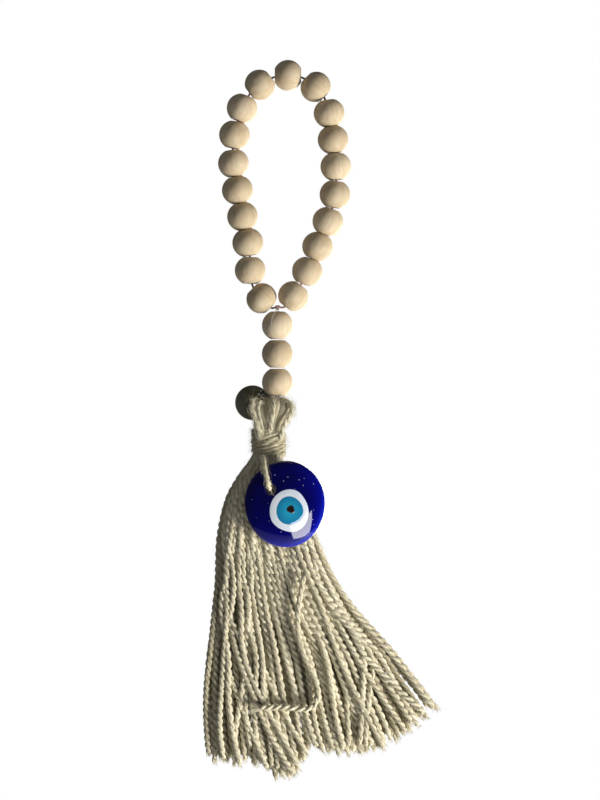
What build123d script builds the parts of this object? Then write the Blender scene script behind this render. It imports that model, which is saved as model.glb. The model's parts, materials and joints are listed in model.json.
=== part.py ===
"""Evil eye ornament: a loop of wooden beads, a stem of three more, a yarn tassel, a glass eye pendant and a hang tag.

Millimetres and degrees. +Z is up, +X to the right and +Y away from the viewer. The ornament hangs as in use, and the
origin is the hang point, on the underside of the crown bead at the top of the loop.
"""

import os
from math import atan2, cos, degrees, pi, radians, sin, sqrt, tan

from build123d import *

# ---- Driving dimensions -------------------------------------------------------------------

BEAD_DIAMETER = 15.6
BEAD_LENGTH = 13.0  # along the bore, loop beads
STEM_BEAD_LENGTH = 13.6  # along the bore, stem beads
BEAD_END_WIDTH = 7.0  # flat ring round each mouth
BEAD_BORE = 4.2
BEAD_GAP = 0.3  # between neighbouring loop beads, where they come closest
STEM_GAP = 0.7  # between stem beads, which leaves room to bend
NEST_GAP = 1.2  # between the first stem bead and the last loop beads, which leaves room to swing

# How far each loop bead's bore leans outwards from straight down, from the crown to the junction.
RIGHT_LEANS = (45, 9, 8, 4, -8, -21, -24, -21, -38)
LEFT_LEANS = (52, 20, 10, -8, -11, -13, -12, 0, -46)
CROWN_LEAN = 90.0
JUNCTION_X = -5.3  # the stem hangs a little left of the hang point

STRING_DIAMETER = 1.0
STRAND_PITCH = 1.2  # between the two strands inside the stem
STRING_CUT = 0.6  # between two stretches of stem string, where the stem bends
KNOT_DIAMETER = 3.0
KNOT_ROOM = 0.7  # between the junction knot and the first stem bead
MOUTH_RUN = 0.8  # straight string outside the last loop beads

HEAD_TOP_GAP = 1.5  # between the last stem bead and the tassel head
HEAD_HEIGHT = 15.0
HEAD_WIDTH = 21.2
HEAD_DEPTH = 16.8
HEAD_TOP_WIDTH = 12.0
HANGER_KNOT_DIAMETER = 5.0
HANGER_ROOM = 0.4  # round the hanger knot, inside the head
HANGER_DEPTH = 4.6  # from the head's top to the hanger knot's centre
HANGER_BORE = 4.0

WRAP_DIAMETER = 17.4
WRAP_HEIGHT = 13.0
WRAP_WALL = 1.7
WRAP_X = -9.7  # the tassel's neck hangs a little left of its stem
CORE_DIAMETER = WRAP_DIAMETER - 2 * WRAP_WALL

# Outline of the skirt, as X at the neck, shoulder, hip, thigh and knee, then X and drop of each lock's hem corner.
SKIRT_LEVELS = (0.0, 20.0, 42.0, 75.0, 98.0)
SKIRT_LEFT = (-WRAP_DIAMETER / 2, -20.3, -26.3, -28.8, -32.3)
SKIRT_RIGHT = (WRAP_DIAMETER / 2, 15.7, 25.0, 41.5, 63.3)
SKIRT_HEM = (
    (-29.8, 156.0),
    (-17.3, 157.0),
    (-4.3, 158.0),
    (9.7, 165.0),
    (22.7, 157.0),
    (36.7, 152.0),
    (52.7, 150.0),
    (69.7, 140.0),
    (85.2, 129.0),
)
# Half the skirt's depth, as drop below the wrap and half depth. It is widest at the hip.
HIP_DEPTH = 10.2
SKIRT_SIDE = ((0.0, CORE_DIAMETER / 2), (20.0, 9.6), (42.0, HIP_DEPTH), (75.0, 9.0), (120.0, 7.0), (166.0, 5.5))

STRAY_DIAMETER = 3.4
STRAY_CLEARANCE = 1.2  # in front of the skirt
# The stray strand's route, as X from the wrap's centre and drop below the wrap.
STRAY_ROUTE = (
    (17.7, 59.5),
    (15.0, 73.0),
    (14.2, 86.5),
    (17.2, 99.0),
    (23.5, 110.5),
    (25.6, 121.0),
    (20.0, 127.0),
    (8.5, 124.6),
    (-3.8, 125.4),
)

EYE_WIDTH = 40.4
EYE_HEIGHT = 43.4
EYE_THICKNESS = 8.0
EYE_DOME = 5.6  # rounding of the front edge
EYE_BACK_ROUND = 1.6
EYE_OFFSET = (8.3, 23.9)  # eye's centre, right of and below the wrap's lower edge
EYE_BORE = 4.6
BORE_ROUND = 0.6  # rounding of the bore's mouths
BORE_OFFSET = (-7.3, 7.4)  # from the eye's centre
WHITE_SIZE = (20.0, 22.3)
WHITE_OFFSET = (2.1, -3.2)
WHITE_DEPTH = 1.6
IRIS_SIZE = (13.9, 15.2)
IRIS_OFFSET = (2.3, -3.1)
IRIS_DEPTH = 1.1
PUPIL_SIZE = (4.4, 4.8)
PUPIL_OFFSET = (2.9, -2.4)
PUPIL_DEPTH = 0.6

TIE_DIAMETER = 2.2
TIE_CLEARANCE = 1.3  # between the tie and the front of the glass
TIE_BACK_CLEARANCE = 0.7  # between the tie and the back of the glass
TIE_SKIRT_CLEARANCE = 0.5  # between the tie and the skirt
TIE_KNOT_DIAMETER = 3.6
TIE_KNOT_X = -2.8  # from the wrap's centre
TIE_KNOT_DROP = 1.0  # below the wrap's lower edge
TIE_KNOT_GAP = 0.3  # between the tie's knot and the wrap

TAG_DIAMETER = 17.5
TAG_THICKNESS = 1.0
TAG_GAP = 0.7  # behind the tassel head
TAG_OFFSET = (-12.6, -1.8)  # tag's centre from the top of the head on its bore's axis
TAG_HOLE = 2.2
TAG_HOLE_OFFSET = (4.3, 4.9)  # from the tag's centre
TAG_STRING_DIAMETER = 0.9
TAG_ROOT_OFFSET = (3.3, 3.9)  # left of and behind the head's bore, where the tag's string starts
TAG_ROOT_RISE = 0.75  # above the head's top


# ---- Where the beads lie --------------------------------------------------------------------


def lean_direction(side, lean):
    """Unit vector down a bore that leans outwards by so much, on the right (1) or left (-1) of the loop."""
    return Vector(side * sin(radians(lean)), 0, -cos(radians(lean)))


def shoulder():
    """Radius of a loop bead's round flank, and how far off the bore's axis its centre lies."""
    rise = (BEAD_DIAMETER - BEAD_END_WIDTH) / 2
    radius = (rise**2 + (BEAD_LENGTH / 2) ** 2) / 2 / rise
    return radius, BEAD_DIAMETER / 2 - radius


def reach(turn):
    """From a loop bead's centre to the corner of the string, where the next bead turns by so much.

    Two beads come closest at the rings round their mouths, and on their flanks where the turn is sharper.
    """
    half = radians(abs(turn)) / 2
    radius, offset = shoulder()
    if radius * cos(half) < BEAD_LENGTH / 2:
        proud = radius + offset * sin(half)
    else:
        proud = BEAD_LENGTH / 2 * cos(half) + BEAD_END_WIDTH / 2 * sin(half)
    return (proud + BEAD_GAP / 2) / cos(half)


CROWN = Vector(0, 0, BEAD_DIAMETER / 2)


def hang_side(side, leans, sway):
    """Bead centres, string corners and leans down one side of the loop, with every lean changed by the same sway."""
    centre, last = CROWN, CROWN_LEAN
    centres, corners, swayed = [], [], []
    for lean in leans:
        lean += sway
        step = reach(last - lean)
        corner = centre + lean_direction(side, last) * step
        centre = corner + lean_direction(side, lean) * step
        corners.append(corner)
        centres.append(centre)
        swayed.append(lean)
        last = lean
    return centres, corners, swayed


def close_side(side, leans):
    """Sways one side of the loop until its last bead hangs beside the other side's last bead."""
    wanted = JUNCTION_X + side * (BEAD_DIAMETER + BEAD_GAP) / 2
    sway = 0.0
    for _ in range(12):
        centres, corners, swayed = hang_side(side, leans, sway)
        last = centres[-1]
        sway += degrees(atan2(side * (wanted - last.X), CROWN.Z - last.Z))
    return centres, corners, swayed


RIGHT_CENTRES, RIGHT_CORNERS, RIGHT_SWAYED = close_side(1, RIGHT_LEANS)
LEFT_CENTRES, LEFT_CORNERS, LEFT_SWAYED = close_side(-1, LEFT_LEANS)


def nested_height(last_bead):
    """Height of the first stem bead's centre, where it nests below a last loop bead and clears it."""
    radius, offset = shoulder()
    apart = abs(last_bead.X - JUNCTION_X) - offset
    return last_bead.Z - sqrt((2 * radius + NEST_GAP) ** 2 - apart**2)


STEM_PITCH = STEM_BEAD_LENGTH + STEM_GAP
STEM_TOP = min(nested_height(RIGHT_CENTRES[-1]), nested_height(LEFT_CENTRES[-1]))
STEM_CENTRES = [Vector(JUNCTION_X, 0, STEM_TOP - i * STEM_PITCH) for i in range(3)]
KNOT = STEM_CENTRES[0] + Vector(0, 0, STEM_BEAD_LENGTH / 2 + KNOT_ROOM + KNOT_DIAMETER / 2)
STEM_BENDS = [centre - Vector(0, 0, STEM_PITCH / 2) for centre in STEM_CENTRES[:2]]

HEAD_TOP = STEM_CENTRES[-1].Z - STEM_BEAD_LENGTH / 2 - HEAD_TOP_GAP
HANGER = Vector(JUNCTION_X, 0, HEAD_TOP - HANGER_DEPTH)
WRAP_TOP = HEAD_TOP - HEAD_HEIGHT
WRAP_BOTTOM = WRAP_TOP - WRAP_HEIGHT
EYE_STANDOFF = HIP_DEPTH + TIE_SKIRT_CLEARANCE + TIE_DIAMETER + TIE_BACK_CLEARANCE  # from the middle plane
EYE = Vector(WRAP_X + EYE_OFFSET[0], -EYE_STANDOFF, WRAP_BOTTOM - EYE_OFFSET[1])
EYE_FRONT = EYE_STANDOFF + EYE_THICKNESS
BORE = EYE + Vector(BORE_OFFSET[0], 0, BORE_OFFSET[1])
TIE_KNOT_Y = -sqrt((WRAP_DIAMETER / 2 + TIE_KNOT_GAP + TIE_KNOT_DIAMETER / 2) ** 2 - TIE_KNOT_X**2)
TIE_KNOT = Vector(WRAP_X + TIE_KNOT_X, TIE_KNOT_Y, WRAP_BOTTOM - TIE_KNOT_DROP)
TAG_Y = max(HEAD_DEPTH, BEAD_DIAMETER) / 2 + TAG_GAP
TAG = Vector(JUNCTION_X + TAG_OFFSET[0], TAG_Y, HEAD_TOP + TAG_OFFSET[1])
TAG_EYELET = TAG + Vector(TAG_HOLE_OFFSET[0], TAG_THICKNESS / 2, TAG_HOLE_OFFSET[1])
TAG_ROOT = Vector(JUNCTION_X - TAG_ROOT_OFFSET[0], TAG_ROOT_OFFSET[1], HEAD_TOP + TAG_ROOT_RISE)


# ---- Writing, and shapes that more than one piece uses ------------------------------------------

os.makedirs("parts", exist_ok=True)


def write(part, name):
    """Labels a finished piece and writes it as a node of that name."""
    part.label = name
    export_step(part, f"parts/{name}.step")


def upright(origin, x_dir=(1, 0, 0)):
    """A vertical sketch plane that faces the viewer's far side."""
    return Plane(origin=origin, x_dir=x_dir, z_dir=(0, 1, 0))


def level(x, z):
    """A level sketch plane centred on the tassel's middle plane."""
    return Plane(origin=(x, 0, z), x_dir=(1, 0, 0), z_dir=(0, 0, 1))


def make_bead(name, centre, along, length):
    """A bead turned about its bore: flat rings at the mouths, and one arc over the flank."""
    half = length / 2
    with BuildPart() as bead:
        with BuildSketch(upright(centre, x_dir=along)):
            with BuildLine():
                Polyline(
                    (half, BEAD_END_WIDTH / 2),
                    (half, BEAD_BORE / 2),
                    (-half, BEAD_BORE / 2),
                    (-half, BEAD_END_WIDTH / 2),
                )
                ThreePointArc((-half, BEAD_END_WIDTH / 2), (0, BEAD_DIAMETER / 2), (half, BEAD_END_WIDTH / 2))
            make_face()
        revolve(axis=Axis(centre, along))
    write(bead.part, name)


def corner_radii(points, share=0.45):
    """For each corner of a route, the arc that takes this share of its shorter run."""
    radii = []
    for before, corner, after in zip(points, points[1:], points[2:]):
        run_in, run_out = Vector(corner) - Vector(before), Vector(after) - Vector(corner)
        half_turn = radians(run_in.get_angle(run_out)) / 2
        radii.append(share * min(run_in.length, run_out.length) / tan(half_turn))
    return radii


def make_tube(name, points, diameter):
    """A round cord along straight runs joined by tangent arcs."""
    radii = corner_radii(points)
    with BuildPart() as tube:
        with BuildLine() as route:
            FilletPolyline(*points, radius=radii)
        with BuildSketch(Plane(origin=route.line @ 0, z_dir=route.line % 0)):
            Circle(diameter / 2)
        sweep()
    length = route.wire().length
    filled = tube.part.volume / (pi / 4 * diameter**2 * length)
    print(f"{name}: {length:.1f} mm long, volume / (section x length) {filled:.4f}")
    print(f"  radii {[round(r, 1) for r in radii]}")
    write(tube.part, name)


def make_ball(name, centre, diameter):
    """A knot, as the ball that it fills."""
    with BuildPart() as ball:
        with Locations(centre):
            Sphere(diameter / 2)
    write(ball.part, name)


# ---- Loop -----------------------------------------------------------------------------------


def loop_route():
    """The string's corners: from the knot up the left side, over the crown and down the right side to the knot."""
    left_mouth = lean_direction(-1, LEFT_SWAYED[-1]) * (BEAD_LENGTH / 2 + MOUTH_RUN)
    right_mouth = lean_direction(1, RIGHT_SWAYED[-1]) * (BEAD_LENGTH / 2 + MOUTH_RUN)
    inside_knot = Vector(KNOT_DIAMETER / 4, 0, 0)
    return [
        KNOT - inside_knot,
        LEFT_CENTRES[-1] + left_mouth,
        *reversed(LEFT_CORNERS),
        *RIGHT_CORNERS,
        RIGHT_CENTRES[-1] + right_mouth,
        KNOT + inside_knot,
    ]


make_tube("loop_string", loop_route(), STRING_DIAMETER)
make_ball("junction_knot", KNOT, KNOT_DIAMETER)
make_bead("loop_bead_crown", CROWN, (1, 0, 0), BEAD_LENGTH)
for side, label, centres, leans in (
    (1, "right", RIGHT_CENTRES, RIGHT_SWAYED),
    (-1, "left", LEFT_CENTRES, LEFT_SWAYED),
):
    for count, (centre, lean) in enumerate(zip(centres, leans), 1):
        make_bead(f"loop_bead_{label}_{count}", centre, lean_direction(side, lean), BEAD_LENGTH)


# ---- Stem -----------------------------------------------------------------------------------


def make_strands(name, top, bottom):
    """One stretch of the doubled string inside the stem, with rounded ends."""
    with BuildPart() as strands:
        with BuildSketch(level(JUNCTION_X, bottom)):
            with Locations((-STRAND_PITCH / 2, 0), (STRAND_PITCH / 2, 0)):
                Circle(STRING_DIAMETER / 2)
        extrude(amount=top - bottom)
        fillet(strands.edges().filter_by(GeomType.CIRCLE), STRING_DIAMETER * 0.4)
    write(strands.part, name)


STUB_TOP = KNOT.Z - KNOT_DIAMETER / 2 - STRING_CUT / 2
STUB_BOTTOM = STEM_CENTRES[0].Z + STEM_BEAD_LENGTH / 2 - 1.2
make_strands("stem_string_stub", STUB_TOP, STUB_BOTTOM)
make_strands("stem_string_upper", STUB_BOTTOM - STRING_CUT, STEM_BENDS[0].Z + STRING_CUT / 2)
make_strands("stem_string_middle", STEM_BENDS[0].Z - STRING_CUT / 2, STEM_BENDS[1].Z + STRING_CUT / 2)
make_strands("stem_string_lower", STEM_BENDS[1].Z - STRING_CUT / 2, HEAD_TOP + HEAD_TOP_GAP / 2)
for count, centre in enumerate(STEM_CENTRES, 1):
    make_bead(f"stem_bead_{count}", centre, (0, 0, -1), STEM_BEAD_LENGTH)

# The hanger: the string's last stretch, and the knot on it that the tassel hangs from.
with BuildPart() as hanger_knot:
    with Locations(HANGER):
        Sphere(HANGER_KNOT_DIAMETER / 2)
    with BuildSketch(level(JUNCTION_X, HANGER.Z)):
        with Locations((-STRAND_PITCH / 2, 0), (STRAND_PITCH / 2, 0)):
            Circle(STRING_DIAMETER / 2)
    extrude(amount=HANGER_DEPTH + HEAD_TOP_GAP / 2 - STRING_CUT)
write(hanger_knot.part, "hanger_knot")


# ---- Tassel ---------------------------------------------------------------------------------

# The folded head, with the bundle's core running down through the wrap.
with BuildPart() as tassel_head:
    with BuildSketch(level(JUNCTION_X - 0.9, HEAD_TOP)):
        Ellipse(HEAD_TOP_WIDTH / 2, HEAD_TOP_WIDTH * 0.42)
    with BuildSketch(level(JUNCTION_X - 2.0, HEAD_TOP - HEAD_HEIGHT * 0.25)):
        Ellipse(HEAD_WIDTH / 2 - 0.3, HEAD_DEPTH / 2 - 0.3)
    with BuildSketch(level(JUNCTION_X - 2.6, HEAD_TOP - HEAD_HEIGHT * 0.6)):
        Ellipse(HEAD_WIDTH / 2 - 0.7, HEAD_DEPTH / 2 - 0.5)
    with BuildSketch(level(WRAP_X, WRAP_TOP)):
        Circle(CORE_DIAMETER / 2)
    loft(ruled=True)
    with BuildSketch(level(WRAP_X, WRAP_BOTTOM)):
        Circle(CORE_DIAMETER / 2)
    extrude(amount=WRAP_HEIGHT)
    with Locations(HANGER):
        Sphere(HANGER_KNOT_DIAMETER / 2 + HANGER_ROOM, mode=Mode.SUBTRACT)
    with BuildSketch(level(JUNCTION_X, HANGER.Z)):
        Circle(HANGER_BORE / 2)
    extrude(amount=HANGER_DEPTH, mode=Mode.SUBTRACT)
write(tassel_head.part, "tassel_head")

with BuildPart() as neck_wrap:
    with BuildSketch(level(WRAP_X, WRAP_BOTTOM)):
        Circle(WRAP_DIAMETER / 2)
        Circle(CORE_DIAMETER / 2, mode=Mode.SUBTRACT)
    extrude(amount=WRAP_HEIGHT)
    fillet(neck_wrap.edges().filter_by(GeomType.CIRCLE).sort_by(SortBy.RADIUS)[-2:], WRAP_WALL * 0.6)
write(neck_wrap.part, "neck_wrap")


def lock_boundary(number):
    """One line between two locks of the skirt, from the wrap down to the hem."""
    share = number / (len(SKIRT_HEM) - 1)
    points = []
    for left, right, drop in zip(SKIRT_LEFT, SKIRT_RIGHT, SKIRT_LEVELS):
        points.append((WRAP_X + left + share * (right - left), WRAP_BOTTOM - drop))
    hem_x, hem_drop = SKIRT_HEM[number]
    return [*points, (WRAP_X + hem_x, WRAP_BOTTOM - hem_drop)]


SKIRT_FRONT = [(-half, WRAP_BOTTOM - drop) for drop, half in SKIRT_SIDE]
SKIRT_BACK = [(half, WRAP_BOTTOM - drop) for drop, half in reversed(SKIRT_SIDE)]
for number in range(len(SKIRT_HEM) - 1):
    with BuildPart() as lock:
        with BuildSketch(Plane.XZ):
            with BuildLine():
                Polyline(*lock_boundary(number), *reversed(lock_boundary(number + 1)), close=True)
            make_face()
        extrude(amount=2 * HIP_DEPTH, both=True)
        with BuildSketch(Plane.YZ):
            with BuildLine():
                Polyline(*SKIRT_FRONT, *SKIRT_BACK, close=True)
            make_face()
        extrude(amount=2 * SKIRT_HEM[-1][0], both=True, mode=Mode.INTERSECT)
    write(lock.part, f"skirt_lock_{number + 1}")


def skirt_depth(drop):
    """Half the skirt's depth at a drop below the wrap."""
    for (high, wide), (low, narrow) in zip(SKIRT_SIDE, SKIRT_SIDE[1:]):
        if drop <= low:
            return wide + (narrow - wide) * (drop - high) / (low - high)
    return SKIRT_SIDE[-1][1]


# The strand that has come loose lies down the skirt's front, and turns across it above the hem.
stray_points = [
    Vector(WRAP_X + x, -skirt_depth(drop) - STRAY_CLEARANCE - STRAY_DIAMETER / 2, WRAP_BOTTOM - drop)
    for x, drop in STRAY_ROUTE
]
make_tube("stray_strand", stray_points, STRAY_DIAMETER)


# ---- Eye pendant ----------------------------------------------------------------------------


def eye_plane(offset, depth):
    """A sketch plane at a depth below the front of the glass, which faces its back."""
    return upright((EYE.X + offset[0], -EYE_FRONT + depth, EYE.Z + offset[1]))


def oval_inlay(name, size, offset, depth, pocket_size=None, pocket_offset=(0, 0), pocket_depth=0):
    """A flush oval drop of glass, with a pocket for the next drop."""
    with BuildPart() as inlay:
        with BuildSketch(eye_plane(offset, 0)):
            Ellipse(size[0] / 2, size[1] / 2)
        extrude(amount=depth)
        if pocket_size:
            with BuildSketch(eye_plane(pocket_offset, 0)):
                Ellipse(pocket_size[0] / 2, pocket_size[1] / 2)
            extrude(amount=pocket_depth, mode=Mode.SUBTRACT)
    write(inlay.part, name)


with BuildPart() as eye_glass:
    with BuildSketch(eye_plane((0, 0), 0)):
        Ellipse(EYE_WIDTH / 2, EYE_HEIGHT / 2)
    extrude(amount=EYE_THICKNESS)
    fillet(eye_glass.edges().sort_by(Axis.Y)[0], EYE_DOME)
    fillet(eye_glass.edges().sort_by(Axis.Y)[-1], EYE_BACK_ROUND)
    with BuildSketch(eye_plane(WHITE_OFFSET, 0)):
        Ellipse(WHITE_SIZE[0] / 2, WHITE_SIZE[1] / 2)
    extrude(amount=WHITE_DEPTH, mode=Mode.SUBTRACT)
    with BuildSketch(eye_plane(BORE_OFFSET, 0)):
        Circle(EYE_BORE / 2)
    extrude(amount=EYE_THICKNESS, mode=Mode.SUBTRACT)
    fillet(eye_glass.edges().filter_by(GeomType.CIRCLE), BORE_ROUND)
write(eye_glass.part, "eye_glass")
oval_inlay("eye_white", WHITE_SIZE, WHITE_OFFSET, WHITE_DEPTH, IRIS_SIZE, IRIS_OFFSET, IRIS_DEPTH)
oval_inlay("eye_iris", IRIS_SIZE, IRIS_OFFSET, IRIS_DEPTH, PUPIL_SIZE, PUPIL_OFFSET, PUPIL_DEPTH)
oval_inlay("eye_pupil", PUPIL_SIZE, PUPIL_OFFSET, PUPIL_DEPTH)

TIE_FRONT_Y = -EYE_FRONT - TIE_CLEARANCE - TIE_DIAMETER / 2
TIE_BACK_Y = -EYE_STANDOFF + TIE_BACK_CLEARANCE + TIE_DIAMETER / 2
# The tie's route: out of its knot, over the front of the glass, through the bore and up behind the glass.
tie_points = [
    TIE_KNOT + Vector(0, -TIE_KNOT_DIAMETER / 2, 0),
    Vector(TIE_KNOT.X + 0.2, TIE_KNOT.Y - 7.5, TIE_KNOT.Z - 0.4),
    Vector(TIE_KNOT.X + 1.2, TIE_FRONT_Y, TIE_KNOT.Z - 6.4),
    Vector(BORE.X, TIE_FRONT_Y, BORE.Z),
    Vector(BORE.X, TIE_BACK_Y, BORE.Z),
    Vector(TIE_KNOT.X + 1.4, TIE_BACK_Y, TIE_KNOT.Z - 6.4),
    TIE_KNOT + Vector(0.3, -0.4, -TIE_KNOT_DIAMETER / 2),
]
make_tube("eye_tie", tie_points, TIE_DIAMETER)
make_ball("eye_tie_knot", TIE_KNOT, TIE_KNOT_DIAMETER)


# ---- Hang tag -------------------------------------------------------------------------------

with BuildPart() as hang_tag:
    with BuildSketch(upright(TAG)):
        Circle(TAG_DIAMETER / 2)
        with Locations((TAG_HOLE_OFFSET[0], -TAG_HOLE_OFFSET[1])):
            Circle(TAG_HOLE / 2, mode=Mode.SUBTRACT)
    extrude(amount=TAG_THICKNESS)
write(hang_tag.part, "hang_tag")

# The tag's string: from the head's top over the tag's edge, through the eyelet and back.
tag_points = [
    TAG_ROOT,
    TAG_EYELET + Vector(2.4, -2.6, -0.4),
    TAG_EYELET + Vector(0, -1.7, 0),
    TAG_EYELET + Vector(0, 1.9, 0),
    TAG_EYELET + Vector(2.6, 1.5, 2.5),
    TAG_ROOT + Vector(-0.4, 1.3, 0.5),
]
make_tube("tag_string", tag_points, TAG_STRING_DIAMETER)
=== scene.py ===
"""Evil eye ornament: visual model of its beads, yarn tassel, glass eye and tag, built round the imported
frame.

Metres, +Z up, +X right, +Y away from the viewer. Sizes written in millimetres are multiplied by MM.
"""
import json
import math

import bpy
import numpy as np
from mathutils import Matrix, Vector


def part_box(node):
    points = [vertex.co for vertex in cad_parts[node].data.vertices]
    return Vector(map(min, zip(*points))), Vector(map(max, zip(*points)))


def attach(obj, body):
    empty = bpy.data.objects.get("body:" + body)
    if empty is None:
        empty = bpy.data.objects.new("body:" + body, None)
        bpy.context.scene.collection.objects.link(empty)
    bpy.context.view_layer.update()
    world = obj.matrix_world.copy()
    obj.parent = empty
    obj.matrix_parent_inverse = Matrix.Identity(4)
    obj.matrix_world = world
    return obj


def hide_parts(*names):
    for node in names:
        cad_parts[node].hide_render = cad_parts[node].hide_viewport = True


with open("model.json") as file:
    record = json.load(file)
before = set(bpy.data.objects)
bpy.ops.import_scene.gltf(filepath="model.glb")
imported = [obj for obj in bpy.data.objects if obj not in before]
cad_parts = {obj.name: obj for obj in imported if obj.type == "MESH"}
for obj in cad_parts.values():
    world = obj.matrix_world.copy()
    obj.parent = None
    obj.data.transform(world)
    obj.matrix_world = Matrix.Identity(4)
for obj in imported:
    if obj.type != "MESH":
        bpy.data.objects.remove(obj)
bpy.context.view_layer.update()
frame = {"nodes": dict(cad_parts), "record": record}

MM = 0.001
SEED = 11
JOINTS = {joint["name"]: joint for joint in frame["record"]["behaviour"]["joints"]}
BODY_OF = {node: body for body, nodes in frame["record"]["behaviour"]["bodies"].items() for node in nodes}


def corners(node):
    """Lowest and highest corner of a node at rest, as arrays in metres."""
    low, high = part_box(node)
    return np.array(low), np.array(high)


WRAP_LOW, WRAP_HIGH = corners("neck_wrap")
WRAP_CENTRE = (WRAP_LOW + WRAP_HIGH) / 2
WRAP_RADIUS = (WRAP_HIGH[0] - WRAP_LOW[0]) / 2
HEAD_TOP = corners("tassel_head")[1][2]
GLASS_LOW, GLASS_HIGH = corners("eye_glass")
GLASS_CENTRE = (GLASS_LOW + GLASS_HIGH) / 2
BORE_CENTRE = np.array(JOINTS["eye_turn"]["pos_m"])
STEM_X = JOINTS["tassel_twist"]["pos_m"][0]

# ---- Camera, lights and floor ---------------------------------------------------------------

VIEW_HEIGHT = 0.400
VIEW_CENTRE = (0.006, -0.1545)
CAMERA_DISTANCE = 1.5
FLOOR_HEIGHT = -1.25
FLOOR_RADIUS = 1.6
ORNAMENT_MIDDLE = (0.0, 0.0, -0.18)


def add_camera():
    """A long lens that looks along +Y at the middle of the ornament."""
    data = bpy.data.cameras.new("camera")
    data.sensor_fit = "VERTICAL"
    data.sensor_height = 24.0
    data.lens = data.sensor_height * CAMERA_DISTANCE / VIEW_HEIGHT
    data.clip_end = 20.0
    camera = bpy.data.objects.new("camera", data)
    camera.location = (VIEW_CENTRE[0], -CAMERA_DISTANCE, VIEW_CENTRE[1])
    camera.rotation_euler = (math.radians(90), 0, 0)
    bpy.context.scene.collection.objects.link(camera)
    bpy.context.scene.camera = camera


def add_lamp(name, place, size, power, colour, aim=ORNAMENT_MIDDLE):
    """A rectangular area lamp that faces the ornament."""
    data = bpy.data.lights.new(name, "AREA")
    data.shape = "RECTANGLE"
    data.size, data.size_y = size
    data.energy = power
    data.color = colour
    lamp = bpy.data.objects.new(name, data)
    lamp.location = place
    lamp.rotation_euler = (Vector(aim) - Vector(place)).to_track_quat("-Z", "Y").to_euler()
    bpy.context.scene.collection.objects.link(lamp)
    return lamp


# ---- Node helpers ---------------------------------------------------------------------------


def new_material(name):
    """A new material with its nodes, its links and its Principled BSDF."""
    material = bpy.data.materials.new(name)
    material.use_nodes = True
    nodes = material.node_tree.nodes
    return material, nodes, material.node_tree.links, nodes["Principled BSDF"]


def attribute(nodes, name):
    """An attribute of the piece, as a node."""
    node = nodes.new("ShaderNodeAttribute")
    node.attribute_name = name
    return node


def colour_ramp(nodes, links, factor, stops):
    """A ramp from (place, colour) stops, fed by a factor socket."""
    ramp = nodes.new("ShaderNodeValToRGB")
    elements = ramp.color_ramp.elements
    while len(elements) < len(stops):
        elements.new(0.5)
    for element, (place, colour) in zip(elements, stops):
        element.position = place
        element.color = (*colour, 1.0)
    links.new(factor, ramp.inputs["Fac"])
    return ramp.outputs["Color"]


def bump(nodes, links, height, strength, distance, normal_socket):
    """A Bump node from a height to a shader's normal. Distance is in metres."""
    node = nodes.new("ShaderNodeBump")
    node.inputs["Strength"].default_value = strength
    node.inputs["Distance"].default_value = distance
    links.new(height, node.inputs["Height"])
    links.new(node.outputs["Normal"], normal_socket)


def make_group(name, inputs, outputs):
    """An empty shader node group with these (name, socket type, default) inputs and (name, type)
    outputs."""
    group = bpy.data.node_groups.new(name, "ShaderNodeTree")
    for label, kind, default in inputs:
        socket = group.interface.new_socket(name=label, in_out="INPUT", socket_type=kind)
        if default is not None:
            socket.default_value = default
    for label, kind in outputs:
        group.interface.new_socket(name=label, in_out="OUTPUT", socket_type=kind)
    return group, group.nodes.new("NodeGroupInput"), group.nodes.new("NodeGroupOutput")


def make_fibres_group():
    """Fibres that run along a thread, and soft patches: from thread coordinates to a height and a patch
    mask."""
    group, given, out = make_group(
        "fibres",
        [
            ("Vector", "NodeSocketVector", None),
            ("Fineness", "NodeSocketFloat", 5.0),
            ("Patch Size", "NodeSocketFloat", 0.2),
        ],
        [("Height", "NodeSocketFloat"), ("Patches", "NodeSocketFloat")],
    )
    nodes, links = group.nodes, group.links
    fine = nodes.new("ShaderNodeTexNoise")
    fine.inputs["Detail"].default_value = 4.0
    fine.inputs["Roughness"].default_value = 0.65
    links.new(given.outputs["Vector"], fine.inputs["Vector"])
    links.new(given.outputs["Fineness"], fine.inputs["Scale"])
    patches = nodes.new("ShaderNodeTexNoise")
    patches.inputs["Detail"].default_value = 2.0
    links.new(given.outputs["Vector"], patches.inputs["Vector"])
    links.new(given.outputs["Patch Size"], patches.inputs["Scale"])
    links.new(fine.outputs["Fac"], out.inputs["Height"])
    links.new(patches.outputs["Fac"], out.inputs["Patches"])
    return group


def make_mottle_group():
    """Soft mottling with fine speckle, for card, wood and glass: from coordinates to two masks."""
    group, given, out = make_group(
        "mottle",
        [
            ("Vector", "NodeSocketVector", None),
            ("Scale", "NodeSocketFloat", 200.0),
            ("Speckle Scale", "NodeSocketFloat", 1500.0),
        ],
        [("Mottle", "NodeSocketFloat"), ("Speckle", "NodeSocketFloat")],
    )
    nodes, links = group.nodes, group.links
    for label, scale, detail in (("Mottle", "Scale", 3.0), ("Speckle", "Speckle Scale", 1.0)):
        noise = nodes.new("ShaderNodeTexNoise")
        noise.inputs["Detail"].default_value = detail
        links.new(given.outputs["Vector"], noise.inputs["Vector"])
        links.new(given.outputs[scale], noise.inputs["Scale"])
        links.new(noise.outputs["Fac"], out.inputs[label])
    return group


FIBRES = make_fibres_group()
MOTTLE = make_mottle_group()


def place_group(nodes, group, **values):
    """A placed node group with its plain inputs set, with underscores for spaces in their names."""
    node = nodes.new("ShaderNodeGroup")
    node.node_tree = group
    for label, value in values.items():
        node.inputs[label.replace("_", " ")].default_value = value
    return node


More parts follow.
